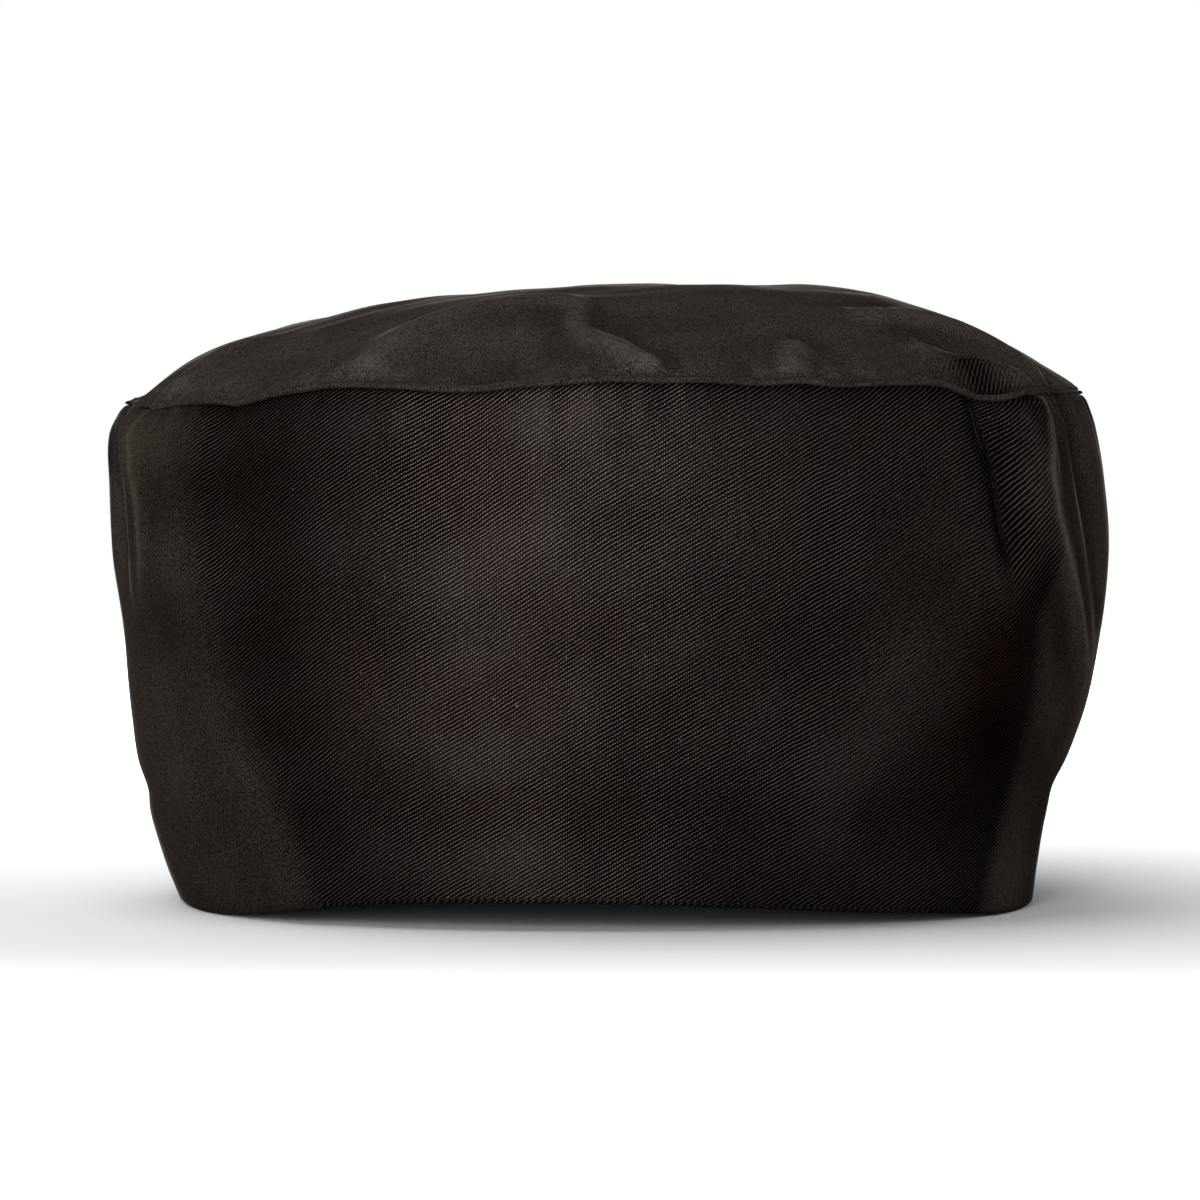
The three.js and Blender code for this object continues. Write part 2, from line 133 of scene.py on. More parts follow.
# The middle of the crown in plan and its lift, as shares. Towards it, the panel forgets the seam's folds by
# the power EDGE_SETTLE and its rise and fall by LIFT_SETTLE. Its own folds fade at the seam over
# TOP_FOLD_FADE.
TOP_MIDDLE = (0.14, -0.05)
TOP_MIDDLE_LIFT = 0.6
EDGE_SETTLE = 7
LIFT_SETTLE = 4
DOME_POWER = 2.6
DOME_FULLNESS = 0.9
TOP_FOLD_FADE = 0.04

# Gathers and casing, between two turns at the back. GATHER_HEM_SHARE is how deep the gathers are at the hem,
# and they reach GATHER_REACH up from the casing. The casing's line of stitches nips the band in.
GATHER_FROM = 0.36
GATHER_TO = 0.64
GATHER_END_FADE = 0.14
GATHER_WANDER = 0.02
GATHER_WANDERS = 3
GATHER_HEM_SHARE = 0.75
GATHER_REACH = 0.36
CASING_FROM = 0.2
CASING_TO = 0.8
CASING_END_FADE = 0.1

# Profile of the top panel's rolled edge: out from the seam and up from it.
LIP_PROFILE = [
    (-0.75, 1.05), (-0.4, 0.98), (-0.08, 0.84), (0.14, 0.62), (0.24, 0.36), (0.22, 0.1), (0.08, -0.1),
    (-0.2, -0.16), (-0.6, -0.42), (-2.2, -0.42),
]
# LIP_TALL is the share of that height at the front and at the sides, where the lip is drawn in by LIP_DRAW.
# The sides begin LIP_SIDE_FROM of a turn from the front. The lip is fuller here and there by LIP_FULLER.
LIP_DRAW = 0.7
LIP_TALL = (0.86, 0.62)
LIP_SIDE_FROM = 0.12
LIP_SIDE_REACH = 0.08
LIP_FULLER = 0.16
LIP_WAVES = [(31, 1.0), (9, 0.4)]
# Towards the seam, the band's outer face rounds inwards by SEAM_ROLL over the last SEAM_ROLL_REACH.
SEAM_ROLL = 0.95
SEAM_ROLL_REACH = 1.7
# The line of edge stitching on the top panel.
STITCH_SHARE = 0.978
# Steps round each plan section, and how far in turns its direction is looked for on each side.
SECTION_STEPS = 1440
PROBE = 0.004
# A middling length round the band, for the places of its folds: this share of the oval that the crown fills.
ROUND_SHARE = 0.94
ROUND = math.pi * (HALF_WIDTH + HALF_DEPTH) * ROUND_SHARE


def mix(a, b, t):
    return a + (b - a) * t


def ease(x):
    x = np.clip(x, 0, 1)
    return x * x * (3 - 2 * x)


def wrap(turn):
    return turn - np.floor(turn)


def from_front(turn):
    """The same turn counted from the front both ways, between -0.5 and 0.5."""
    return wrap(turn + 0.5) - 0.5


def read_table(keys, values, at):
    """Rows of values at places among the keys, joined smoothly through them."""
    keys = np.asarray(keys, float)
    values = np.asarray(values, float)
    at = np.clip(np.asarray(at, float), keys[0], keys[-1])
    i = np.clip(np.searchsorted(keys, at, side="right") - 1, 0, len(keys) - 2)
    low = np.maximum(np.arange(len(keys)) - 1, 0)
    high = np.minimum(np.arange(len(keys)) + 1, len(keys) - 1)
    slope = (values[high] - values[low]) / (keys[high] - keys[low])[:, None]
    span = (keys[i + 1] - keys[i])[..., None]
    s = (at - keys[i])[..., None] / span
    return (
        (2 * s**3 - 3 * s**2 + 1) * values[i]
        + (s**3 - 2 * s**2 + s) * span * slope[i]
        + (3 * s**2 - 2 * s**3) * values[i + 1]
        + (s**3 - s**2) * span * slope[i + 1]
    )


def lift(rows, turn):
    """Height at each turn, read smoothly from rows of (turn, share of FRONT_LIFT) that close into a ring."""
    last, first, second = rows[-1], rows[0], rows[1]
    ring = [(last[0] - 1, last[1]), *rows, (first[0] + 1, first[1]), (second[0] + 1, second[1])]
    keys, values = zip(*ring)
    height = read_table(keys, np.array(values)[:, None], wrap(turn))[..., 0]
    return np.maximum(0, height) * FRONT_LIFT


def section_lines(ups):
    """Plan of each section as points at even steps of angle, and the share of its length at each."""
    rows = read_table([row.up for row in SECTIONS], [row[1:] for row in SECTIONS], ups)[:, :, None]
    angle = np.linspace(0, 2 * math.pi, SECTION_STEPS + 1)
    s, c = np.sin(angle), np.cos(angle)
    sideways = np.where(s > 0, rows[:, 1], rows[:, 0]) * HALF_WIDTH
    lengthways = np.where(c > 0, rows[:, 2], rows[:, 3]) * HALF_DEPTH
    power = np.where(c > 0, rows[:, 4], rows[:, 5])
    radius = (np.abs(s / sideways) ** power + np.abs(c / lengthways) ** power) ** (-1 / power)
    x, y = radius * s, -radius * c
    length = np.zeros_like(x)
    length[:, 1:] = np.cumsum(np.hypot(np.diff(x), np.diff(y)), axis=1)
    return x, y, length / length[:, -1:]


def plain_sections(turns, ups):
    """Plan points and outward directions of the plain sections, as grids of up by turn."""
    x, y, share = section_lines(ups)

    def read(line, at):
        return np.array([np.interp(wrap(at), share[j], line[j]) for j in range(len(line))])

    run_x = read(x, turns + PROBE) - read(x, turns - PROBE)
    run_y = read(y, turns + PROBE) - read(y, turns - PROBE)
    run = np.hypot(run_x, run_y)
    return read(x, turns), read(y, turns), run_y / run, -run_x / run


def fold_height(x, y, fold, unit_a, unit_b):
    """How far a fold lifts the cloth at a place. The fold's own places are in shares of the two units."""
    x0, y0 = fold.from_a * unit_a, fold.from_b * unit_b
    dx, dy = fold.to_a * unit_a - x0, fold.to_b * unit_b - y0
    long = math.hypot(dx, dy)
    s = np.clip(((x - x0) * dx + (y - y0) * dy) / long**2, 0, 1)
    bow = fold.bow * HALF_WIDTH * 4 * s * (1 - s)
    away = np.hypot(x - x0 - dx * s + bow * dy / long, y - y0 - dy * s - bow * dx / long)
    height = mix(fold.height, fold.end_height, s) * HALF_WIDTH
    return height * np.exp(-((away / (fold.width * HALF_WIDTH)) ** 2))


def gather_height(turn, up):
    s = (wrap(turn) - GATHER_FROM) / (GATHER_TO - GATHER_FROM)
    ends = ease(np.minimum(s, 1 - s) / GATHER_END_FADE)
    top = CASING_HEIGHT / BAND_HEIGHT
    level = np.where(up < top, mix(GATHER_HEM_SHARE, 1, up / top), 1 - ease((up - top) / GATHER_REACH))
    phase = s + GATHER_WANDER * np.sin(2 * math.pi * GATHER_WANDERS * s)
    return GATHER_DEPTH * ends * level * np.sin(2 * math.pi * GATHER_COUNT * phase)


def casing_pull(turn, up):
    s = (wrap(turn) - CASING_FROM) / (CASING_TO - CASING_FROM)
    ends = ease(np.minimum(s, 1 - s) / CASING_END_FADE)
    return -CASING_NIP * ends * np.exp(-(((up * BAND_HEIGHT - CASING_HEIGHT) / CASING_NIP_SPREAD) ** 2))


def band_push(turn, up):
    push = gather_height(turn, up) + casing_pull(turn, up)
    for fold in BAND_FOLDS:
        middle = (fold.from_a + fold.to_a) / 2
        near = from_front(turn - middle) + middle
        push = push + fold_height(near * ROUND, up * BAND_HEIGHT, fold, ROUND, BAND_HEIGHT)
    return push


def ripple(a, b, waves):
    """Sum of plane waves of (length, slant, height, phase) over a place in millimetres."""
    total = 0
    for length, slant, height, phase in waves:
        along = a * math.cos(slant) + b * math.sin(slant)
        total = total + height * np.sin(2 * math.pi * along / length + phase)
    return total


# Crisp creases at the corners: how far out, how much paler, how wide in turns to the left and to the right,
# and where each runs as (up, turn). They fade over CREASE_END at their ends and CREASE_SEAM at the seam.
Crease = namedtuple("Crease", "height pale left right line")
RIGHT_RIDGE = Crease(1.0, 5.0, 0.009, 0.004, [
    (0.4, 0.1995), (0.455, 0.191), (0.565, 0.1745), (0.665, 0.1615), (0.72, 0.1555), (0.775, 0.1515),
    (0.86, 0.1495), (0.925, 0.152), (1.0, 0.1575),
])
LEFT_RIDGE = Crease(0.5, 2.4, 0.004, 0.007, [
    (0.6, -0.178), (0.67, -0.173), (0.715, -0.169), (0.81, -0.17), (0.955, -0.181),
])
RIGHT_CREASE = Crease(-1.4, 0.0, 0.004, 0.0085, [
    (0.62, 0.1335), (0.77, 0.131), (0.905, 0.1305), (0.96, 0.1285), (1.0, 0.125),
])
CREASES = [RIGHT_RIDGE, LEFT_RIDGE, RIGHT_CREASE]
CREASE_END = 0.12
CREASE_SEAM = 0.014


def crease_mark(crease, turn, up):
    """From 0 beside a crease to 1 along it, fading out at its lower end."""
    ups, line = zip(*crease.line)
    past = from_front(turn - np.interp(up, ups, line))
    across = np.exp(-((past / np.where(past < 0, crease.left, crease.right)) ** 2))
    return across * ease((up - ups[0]) / CREASE_END) * ease((ups[-1] + CREASE_END - up) / CREASE_END)


# Slow unevenness of the cloth, and the small puckers that the seam draws into it. The puckers are deeper by
# CORNER_PUCKERS from CORNER_FROM on, in turns from the front.
CLOTH_WAVES = [
    (83, 0.3, 0.2, 0.4), (57, 1.2, 0.1, 2.1), (41, -0.6, 0.06, 4.4), (24, 0.9, 0.025, 1.3),
    (17, -1.1, 0.02, 3.0), (11, 0.2, 0.014, 5.1),
]
SEAM_WAVES = [(9.3, 0.05, 0.06, 0.2), (6.1, -0.08, 0.04, 1.9), (14.7, 0.1, 0.06, 3.3), (4.3, 0.1, 0.02, 4.0)]
SEAM_WAVE_REACH = 9.0
CORNER_PUCKERS = 3.0
CORNER_FROM = 0.13
CORNER_REACH = 0.03


def band_detail(turn, up):
    a = from_front(turn) * ROUND
    b = up * BAND_HEIGHT
    below = BAND_HEIGHT - b
    corner = ease((np.abs(a) / ROUND - CORNER_FROM) / CORNER_REACH)
    puckers = ripple(a, b, SEAM_WAVES) * np.exp(-below / SEAM_WAVE_REACH) * (1 + CORNER_PUCKERS * corner)
    creases = sum(crease.height * crease_mark(crease, turn, up) for crease in CREASES)
    return ripple(a, b, CLOTH_WAVES) + puckers + creases * ease((1 - up) / CREASE_SEAM)


def band_grid(turns, ups, detail=1.0, folds=1.0):
    """Points of the band's outer face, a grid of up by turn."""
    x, y, out_x, out_y = plain_sections(turns, ups)
    turn, up = np.meshgrid(turns, ups)
    push = band_push(turn, up) * folds + band_detail(turn, up) * detail
    z = up * BAND_HEIGHT + mix(lift(HEM_LIFT, turns), lift(SEAM_LIFT, turns), up)
    return np.stack([x + push * out_x, y + push * out_y, z], -1)


def outward(grid):
    """Unit normals of a grid of up by turn, facing out of the cap."""
    round_about = np.roll(grid, -1, axis=1) - np.roll(grid, 1, axis=1)
    normal = np.cross(round_about, np.gradient(grid, axis=0))
    return normal / np.maximum(np.linalg.norm(normal, axis=-1, keepdims=True), 1e-9)


# Slow unevenness of the panel, and the small waves beside its stitches.
TOP_WAVES = [
    (47, 0.5, 0.25, 1.4), (31, -0.7, 0.16, 0.3), (22, 1.4, 0.1, 2.6), (15, 0.1, 0.06, 4.2),
    (10, -1.2, 0.035, 5.5),
]
EDGE_WAVES = [(7.3, 0.0, 0.16, 0.9), (5.1, 0.0, 0.1, 2.7), (12.1, 0.0, 0.14, 4.8)]
EDGE_WAVE_REACH = 0.05
# The stitches sink a groove into the panel, deepest at the front right corner.
GROOVE_DEPTH = 0.12
GROOVE_WIDTH = 0.005
DRAG_TURN = 0.138
DRAG_REACH = 0.012
DRAG_DEPTH = 0.5


def top_grid(turns, shares):
    """Points of the top panel's outer face, a grid of share by turn."""
    ring = np.array([1.0])
    folded = band_grid(turns, ring)[0]
    plain = band_grid(turns, ring, detail=0, folds=0)[0]
    share = np.asarray(shares)[:, None]
    edge = plain + (folded - plain) * share[..., None] ** EDGE_SETTLE
    x = mix(TOP_MIDDLE[0] * HALF_WIDTH, edge[..., 0], share)
    y = mix(TOP_MIDDLE[1] * HALF_DEPTH, edge[..., 1], share)
    dome = DOME_RISE * (1 - share**DOME_POWER) ** DOME_FULLNESS
    middle = BAND_HEIGHT + TOP_MIDDLE_LIFT * FRONT_LIFT
    base = mix(middle, folded[None, :, 2], share**LIFT_SETTLE) + SEAM_GAP
    push = ripple(x, y, TOP_WAVES)
    for fold in TOP_FOLDS:
        push = push + fold_height(x, y, fold, HALF_WIDTH, HALF_DEPTH)
    push = push * ease((1 - share) / TOP_FOLD_FADE)
    around = from_front(turns)[None, :]
    near_edge = np.exp(-((share - STITCH_SHARE) / EDGE_WAVE_REACH) ** 2)
    push = push + ripple(around * ROUND, 0, EDGE_WAVES) * near_edge
    drag = np.exp(-(((around - DRAG_TURN) / DRAG_REACH) ** 2))
    groove = GROOVE_DEPTH + DRAG_DEPTH * drag
    push = push - groove * np.exp(-((share - STITCH_SHARE) / GROOVE_WIDTH) ** 2)
    return np.stack([x, y, base + dome + push], -1)


# The cap stands centred on the origin, by the widest of its sections.
CENTRING = np.array([
    (max(row.left for row in SECTIONS) - max(row.right for row in SECTIONS)) / 2 * HALF_WIDTH,
    (max(row.front for row in SECTIONS) - max(row.back for row in SECTIONS)) / 2 * HALF_DEPTH,
    0.0,
])


def horizontal(ring):
    """Outward directions of a ring of points, kept level."""
    run = np.roll(ring, -1, axis=0) - np.roll(ring, 1, axis=0)
    out = np.stack([run[:, 1], -run[:, 0], np.zeros(len(run))], -1)
    return out / np.linalg.norm(out, axis=1, keepdims=True)


def convexity(grid, normals, reach):
    """How far each point of a grid stands proud of its neighbours, reach steps away, in millimetres."""
    rows = np.arange(len(grid))
    beside = np.roll(grid, reach, axis=1) + np.roll(grid, -reach, axis=1)
    above = grid[np.minimum(rows + reach, rows[-1])]
    below = grid[np.maximum(rows - reach, 0)]
    return np.sum((grid - (beside + above + below) / 4) * normals, axis=-1)


def show(name, mesh, material):
    """A new object of the mesh in the scene, smoothly shaded."""
    mesh.polygons.foreach_set("use_smooth", [True] * len(mesh.polygons))
    mesh.materials.append(material)
    mesh.update()
    made = bpy.data.objects.new(name, mesh)
    bpy.context.scene.collection.objects.link(made)
    return made


def mesh_object(name, rings, uvs, material, loop, poles=(), marks=()):
    """A closed skin from rings of points; uvs has one more column than the rings. poles close its two ends.

    marks are named grids of one value for each point, which the material reads.
    """
    rows, count = len(rings), len(rings[0])
    points = (np.concatenate(rings) + CENTRING) * MM
    row = np.arange(rows if loop else rows - 1)[:, None]
    column = np.arange(count)[None, :]
    following, beside = (row + 1) % rows, (column + 1) % count
    quads = np.stack([
        row * count + column, row * count + beside, following * count + beside, following * count + column,
    ], -1).reshape(-1, 4)
    next_row = row + 1
    quad_uvs = np.stack([
        uvs[row, column], uvs[row, column + 1], uvs[next_row, column + 1], uvs[next_row, column],
    ], 2).reshape(-1, 2)
    faces = quads.tolist()
    corner_uvs = [quad_uvs]
    for pole, at_start in poles:
        index = len(points)
        points = np.vstack([points, (pole + CENTRING) * MM])
        ring = 0 if at_start else rows - 1
        for i in range(count):
            a, b = ring * count + i, ring * count + (i + 1) % count
            faces.append([index, b, a] if at_start else [index, a, b])
            uv_a, uv_b = uvs[ring, i], uvs[ring, i + 1]
            centre = pole[:2] * MM
            corner_uvs.append(np.array([centre, uv_b, uv_a] if at_start else [centre, uv_a, uv_b]))
    mesh = bpy.data.meshes.new(name)
    mesh.from_pydata(points.tolist(), [], faces)
    layer = mesh.uv_layers.new(name="cloth")
    layer.data.foreach_set("uv", np.concatenate(corner_uvs).astype(np.float32).ravel())
    for mark, values in marks:
        attribute = mesh.attributes.new(mark, "FLOAT", "POINT")
        ends = [values[0 if at_start else -1][0] for _, at_start in poles]
        flat = np.concatenate([np.ravel(values), ends])
        attribute.data.foreach_set("value", flat.astype(np.float32))
    made = show(name, mesh, material)
    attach(made, "root")
    return made


# Materials. A two-and-one twill: a warp yarn shows over two wefts, and each yarn's float sits a weft higher
# than the last. The ribs stray by RIB_STRAY of their pitch and the yarns by YARN_STRAY of theirs.
WARP_PITCH = 0.000476
RIB_PITCH = 0.00073
BAND_SLANT = math.radians(30.3)
TOP_SLANT = math.radians(74)
RIB_STRAY = 0.7
YARN_STRAY = 0.5
# Noises: cycles in a metre, and octaves. The fibres of the grain are drawn out upwards.
STRAY_NOISE = (230.0, 2.0)
FINE_NOISE = (700.0, 2.0)
GRAIN_NOISE = (3300.0, 3.0)
MOTTLE_NOISE = (48.0, 6.0)
HUE_NOISE = (75.0, 3.0)
FIBRE_SCALE = (1.0, 1.0, 0.6)
# Specks of lint: cells in a metre, and a speck's radius as a share of a cell.
LINT_CELLS = 190.0
LINT_SIZE = 0.03
# What each value is multiplied by, and what is then added to it.
YARN_RANGE = (0.84, 0.16)
PAINTED_SHEEN_RANGE = (1.6, -0.7)
GRAIN_RANGE = (3.6, -1.3)
MOTTLE_RANGE = (0.9, 0.55)
HUE_RANGE = (3.0, -1.0)
PAINTED_SHEEN_TONE = (0.45, 0.05)
WEAVE_TONE = (0.8, 0.6)
# How much the fine noise breaks up the nap, which is painted sheen. How much the ridge mark darkens the cloth
# where it is below 0, which is painted shade, and pales it where it is above, and how much redder the
# darkened places are.
PAINTED_SHEEN_BREAK = 0.8
RIDGE_PAINTED_SHADE = 0.55
RIDGE_PALE = 0.22
DARK_HUE = 1.2
REDDER = (1.07, 0.95, 0.94)
RED_TINT = (0.08, 0.038, 0.03)
GAP_COLOUR = (0.0018, 0.0007, 0.0004)
# The weave glints as a soft metal along its yarns; the nap is matt.
TWILL_ROUGHNESS = 0.42
NAP_ROUGHNESS = 0.9
TWILL_GLOSS = 0.8
GRAIN_HEIGHT = 0.2
BUMP_STRENGTH = 0.6
BUMP_HEIGHT = 0.00005


class Nodes:
    """Short names for making and joining shader nodes."""

    def __init__(self, material):
        material.use_nodes = True
        self.tree = material.node_tree
        self.tree.nodes.clear()

    def add(self, kind, inputs=(), **settings):
        node = self.tree.nodes.new(kind)
        for key, value in settings.items():
            setattr(node, key, value)
        for key, value in dict(inputs).items():
            if isinstance(value, bpy.types.NodeSocket):
                self.tree.links.new(value, node.inputs[key])
            else:
                node.inputs[key].default_value = value
        return node

    def math(self, operation, a, b=0.0, c=0.0, clamp=False):
        made = self.add("ShaderNodeMath", {0: a, 1: b, 2: c}, operation=operation, use_clamp=clamp)
        return made.outputs[0]

    def wave(self, phase):
        """From 0 to 1 and back each time the phase grows by 1."""
        turned = self.math("COSINE", self.math("MULTIPLY", phase, 2 * math.pi))
        return self.math("MULTIPLY_ADD", turned, 0.5, 0.5)

    def noise(self, place, scale, detail):
        made = self.add("ShaderNodeTexNoise", {"Vector": place, "Scale": scale, "Detail": detail})
        return made.outputs["Fac"]

    def mix(self, factor, a, b):
        a, b = ((*x, 1) if isinstance(x, tuple) else x for x in (a, b))
        made = self.add("ShaderNodeMix", {"Factor": factor, "A": a, "B": b}, data_type="RGBA")
        return made.outputs["Result"]

    def mark(self, name):
        return self.add("ShaderNodeAttribute", attribute_name=name).outputs["Fac"]

    def finish(self, shader):
        output = self.add("ShaderNodeOutputMaterial")
        self.tree.links.new(shader.outputs[0], output.inputs[0])


def twill_weave(nodes, place, slant, crest):
    """From 0 in the gaps of the weave to 1 on its floats; crest makes the ribs narrower."""
    parts = nodes.add("ShaderNodeSeparateXYZ", {0: place}).outputs
    u, v = parts["X"], parts["Y"]
    stray = nodes.noise(place, *STRAY_NOISE)
    across = nodes.math("MULTIPLY", v, math.cos(slant) / RIB_PITCH)
    across = nodes.math("MULTIPLY_ADD", u, -math.sin(slant) / RIB_PITCH, across)
    across = nodes.math("MULTIPLY_ADD", stray, RIB_STRAY, across)
    column = nodes.math("MULTIPLY_ADD", stray, YARN_STRAY, nodes.math("DIVIDE", u, WARP_PITCH))
    rib = nodes.math("POWER", nodes.wave(across), crest)
    yarn = nodes.math("MULTIPLY_ADD", nodes.wave(column), *YARN_RANGE)
    return nodes.math("MULTIPLY", rib, yarn)


def cloth_tone(nodes, place, solid, weave, smooth, grain, fine, ridge, shade):
    """How light each place is, from the gap's colour at 0 to the cloth's at 1: an even tone where the nap of
    painted sheen covers the weave, darker where shade is painted, and paler along ridges.
    """
    mottle = nodes.math("MULTIPLY_ADD", nodes.noise(solid, *MOTTLE_NOISE), *MOTTLE_RANGE)
    plain = nodes.math("MULTIPLY_ADD", grain, *PAINTED_SHEEN_TONE)
    woven = nodes.math("MULTIPLY", weave, nodes.math("MULTIPLY_ADD", grain, *WEAVE_TONE))
    tone = nodes.math("MULTIPLY_ADD", nodes.math("SUBTRACT", plain, woven), smooth, woven)
    tone = nodes.math("MULTIPLY", tone, mottle)
    # Painted shade: darker in hollows and in the patches of painted shade.
    tone = nodes.math("MULTIPLY", tone, shade)
    # Paler along ridges and creases, which on the top panel is painted highlight.
    pale = nodes.math("MULTIPLY", nodes.math("MAXIMUM", ridge, 0.0), fine)
    tone = nodes.math("MULTIPLY_ADD", pale, RIDGE_PALE, tone)
    lint = nodes.add("ShaderNodeTexVoronoi", {"Vector": place, "Scale": LINT_CELLS, "Randomness": 1.0})
    lint = nodes.math("LESS_THAN", lint.outputs["Distance"], LINT_SIZE)
    return nodes.math("MAXIMUM", tone, lint)


def cloth_colour(nodes, solid, light, nap_painted_sheen_colour, smooth, shade):
    """The cloth's colour: a little redder in patches and redder still where shade is painted, the nap's
    colour of painted sheen where the weave is smoothed, and the red tint of the red mark.
    """
    hue = nodes.math("MULTIPLY_ADD", nodes.noise(solid, *HUE_NOISE), *HUE_RANGE)
    hue = nodes.math("MULTIPLY_ADD", nodes.math("SUBTRACT", 1.0, shade), DARK_HUE, hue, clamp=True)
    woven_colour = nodes.mix(hue, light, tuple(a * b for a, b in zip(light, REDDER)))
    cloth = nodes.mix(smooth, woven_colour, nap_painted_sheen_colour)
    return nodes.mix(nodes.mark("red"), cloth, RED_TINT)


def twill_material(name, slant, light, nap_painted_sheen_colour, crest, sheen):
    """Cotton twill: slanting ribs of short floats, dark between them, smoothed by the nap mark to an even,
    lighter nap that is rough and matt and paints the sheen of cloth seen edge-on.
    """
    material = bpy.data.materials.new(name)
    nodes = Nodes(material)
    place = nodes.add("ShaderNodeUVMap", uv_map="cloth").outputs["UV"]
    solid = nodes.add("ShaderNodeTexCoord").outputs["Object"]
    weave = twill_weave(nodes, place, slant, crest)
    fine = nodes.noise(solid, *FINE_NOISE)
    # The nap mark: the weave gives way to a lighter, even nap, a painted sheen, and turns rough and matt.
    smooth = nodes.math("MULTIPLY_ADD", nodes.mark("nap_and_painted_sheen"), *PAINTED_SHEEN_RANGE)
    smooth = nodes.math("MULTIPLY_ADD", fine, PAINTED_SHEEN_BREAK, smooth, clamp=True)
    fibres = nodes.add("ShaderNodeMapping", {"Vector": solid, "Scale": FIBRE_SCALE}).outputs[0]
    grain = nodes.math("MULTIPLY_ADD", nodes.noise(fibres, *GRAIN_NOISE), *GRAIN_RANGE, clamp=True)
    # The ridge mark: painted shade below 0, in hollows and patches; paler ridges above 0.
    ridge = nodes.mark("ridge")
    shade = nodes.math("MULTIPLY_ADD", ridge, RIDGE_PAINTED_SHADE, 1.0, clamp=True)
    tone = cloth_tone(nodes, place, solid, weave, smooth, grain, fine, ridge, shade)
    cloth = cloth_colour(nodes, solid, light, nap_painted_sheen_colour, smooth, shade)
    height = nodes.math("MULTIPLY", weave, nodes.math("SUBTRACT", 1.0, smooth))
    height = nodes.math("MULTIPLY_ADD", grain, GRAIN_HEIGHT, height)
    bump = nodes.add("ShaderNodeBump", {
        "Height": height, "Strength": BUMP_STRENGTH, "Distance": BUMP_HEIGHT,
    })
    rougher = NAP_ROUGHNESS - TWILL_ROUGHNESS
    tangent = nodes.add("ShaderNodeTangent", direction_type="UV_MAP", uv_map="cloth")
    nodes.finish(nodes.add("ShaderNodeBsdfPrincipled", {
        "Base Color": nodes.mix(tone, GAP_COLOUR, cloth),
        "Normal": bump.outputs["Normal"],
        "Roughness": nodes.math("MULTIPLY_ADD", smooth, rougher, TWILL_ROUGHNESS),
        "Metallic": nodes.math("MULTIPLY_ADD", smooth, -TWILL_GLOSS, TWILL_GLOSS),
        "Specular IOR Level": 0.0,
        "Specular Tint": (0.0, 0.0, 0.0, 1),
        "Anisotropic": 0.95,
        "Anisotropic Rotation": 0.25,
        "Tangent": tangent.outputs["Tangent"],
        "Sheen Weight": sheen,
        "Sheen Roughness": 0.1,
        "Sheen Tint": (1.0, 0.9, 0.8, 1),
    }))
    return material


def plain_material(name, colour, roughness):
    material = bpy.data.materials.new(name)
    nodes = Nodes(material)
    inputs = {"Base Color": (*colour, 1), "Roughness": roughness}
    nodes.finish(nodes.add("ShaderNodeBsdfPrincipled", inputs))
    return material


# The nap colours are painted sheen, for cloth seen edge-on.
band_cloth = twill_material(
    "band_twill", BAND_SLANT, light=(0.094, 0.082, 0.077), nap_painted_sheen_colour=(0.056, 0.045, 0.036), crest=3.8, sheen=0.25,
)
top_cloth = twill_material(
    "top_twill", TOP_SLANT, light=(0.06, 0.05, 0.045), nap_painted_sheen_colour=(0.093, 0.078, 0.067), crest=1.6, sheen=0.3,
)
thread = plain_material("thread", colour=(0.042, 0.036, 0.031), roughness=0.7)

# The band's skin: fold of the hem, outer face, upper edge, inner face.
# Columns of the mesh right of the front: a turn, and how many there are from it to the next.
COLUMNS = [(0.0, 65), (0.1, 150), (0.2, 135), (0.5, 0)]
# Rows of the mesh. The outer face has one about every OUTER_STEP of its height, every END_STEP at its ends.
HEM_ROWS = 6
OUTER_STEP = 0.0125
END_STEP = 0.006
END_REACH = 0.12
SEAM_ROLL_ROWS = 6
INNER_ROWS = 30
# The inner face shows only this much of the fine detail.
INNER_DETAIL = 0.3
HEM_ROUND = BAND_WALL / 2
LOW_UP = HEM_ROUND / BAND_HEIGHT
ROLL_START = 1 - SEAM_ROLL_REACH / BAND_HEIGHT


def column_turns():
    spans = [
        np.linspace(start, stop, count, endpoint=False)
        for (start, count), (stop, _) in zip(COLUMNS, COLUMNS[1:])
    ]
    right = np.concatenate(spans)
    return np.concatenate([[-0.5], -right[:0:-1], right])


def even_rows(start, stop, step, end_step, end_reach):
    """Shares from start to stop at about a step apart, closer together within end_reach of both ends."""
    places = [start]
    while places[-1] < stop:
        near = min(places[-1] - start, stop - places[-1])
        places.append(places[-1] + mix(end_step, step, min(near / end_reach, 1)))
    return np.array(places) / places[-1] * stop


def outer_rows():
    """Shares of height of the rows of the outer face."""
    ups = even_rows(LOW_UP, ROLL_START, OUTER_STEP, END_STEP, END_REACH)
    ups[0] = LOW_UP
    roll = np.linspace(0, 1, SEAM_ROLL_ROWS + 1)[1:]
    return np.concatenate([ups, mix(ROLL_START, 1, np.sin(roll * math.pi / 2))])


turns = column_turns()
uv_turns = np.append(turns, 0.5)
front_column = int(np.argmin(np.abs(turns)))
outer_ups = outer_rows()
outer_face = band_grid(turns, outer_ups)
seam = outer_face[-1].copy()
seam_out = horizontal(seam)


def hem_fold():
    """Rings round the fold of the hem, from the inside out, and where each lies along the cloth."""
    foot = band_grid(turns, np.array([0.0]))[0]
    foot_out = horizontal(foot)
    rings, lengths = [], []
    for k in range(HEM_ROWS):
        angle = math.pi * (HEM_ROWS - k - 0.5) / HEM_ROWS
        inward = HEM_ROUND * (math.cos(angle) - 1)
        raised = HEM_ROUND * (1 - math.sin(angle))
        rings.append(foot + foot_out * inward + [0, 0, raised])
        lengths.append(-HEM_ROUND * (HEM_ROWS - k) / HEM_ROWS * 2)
    return rings, lengths


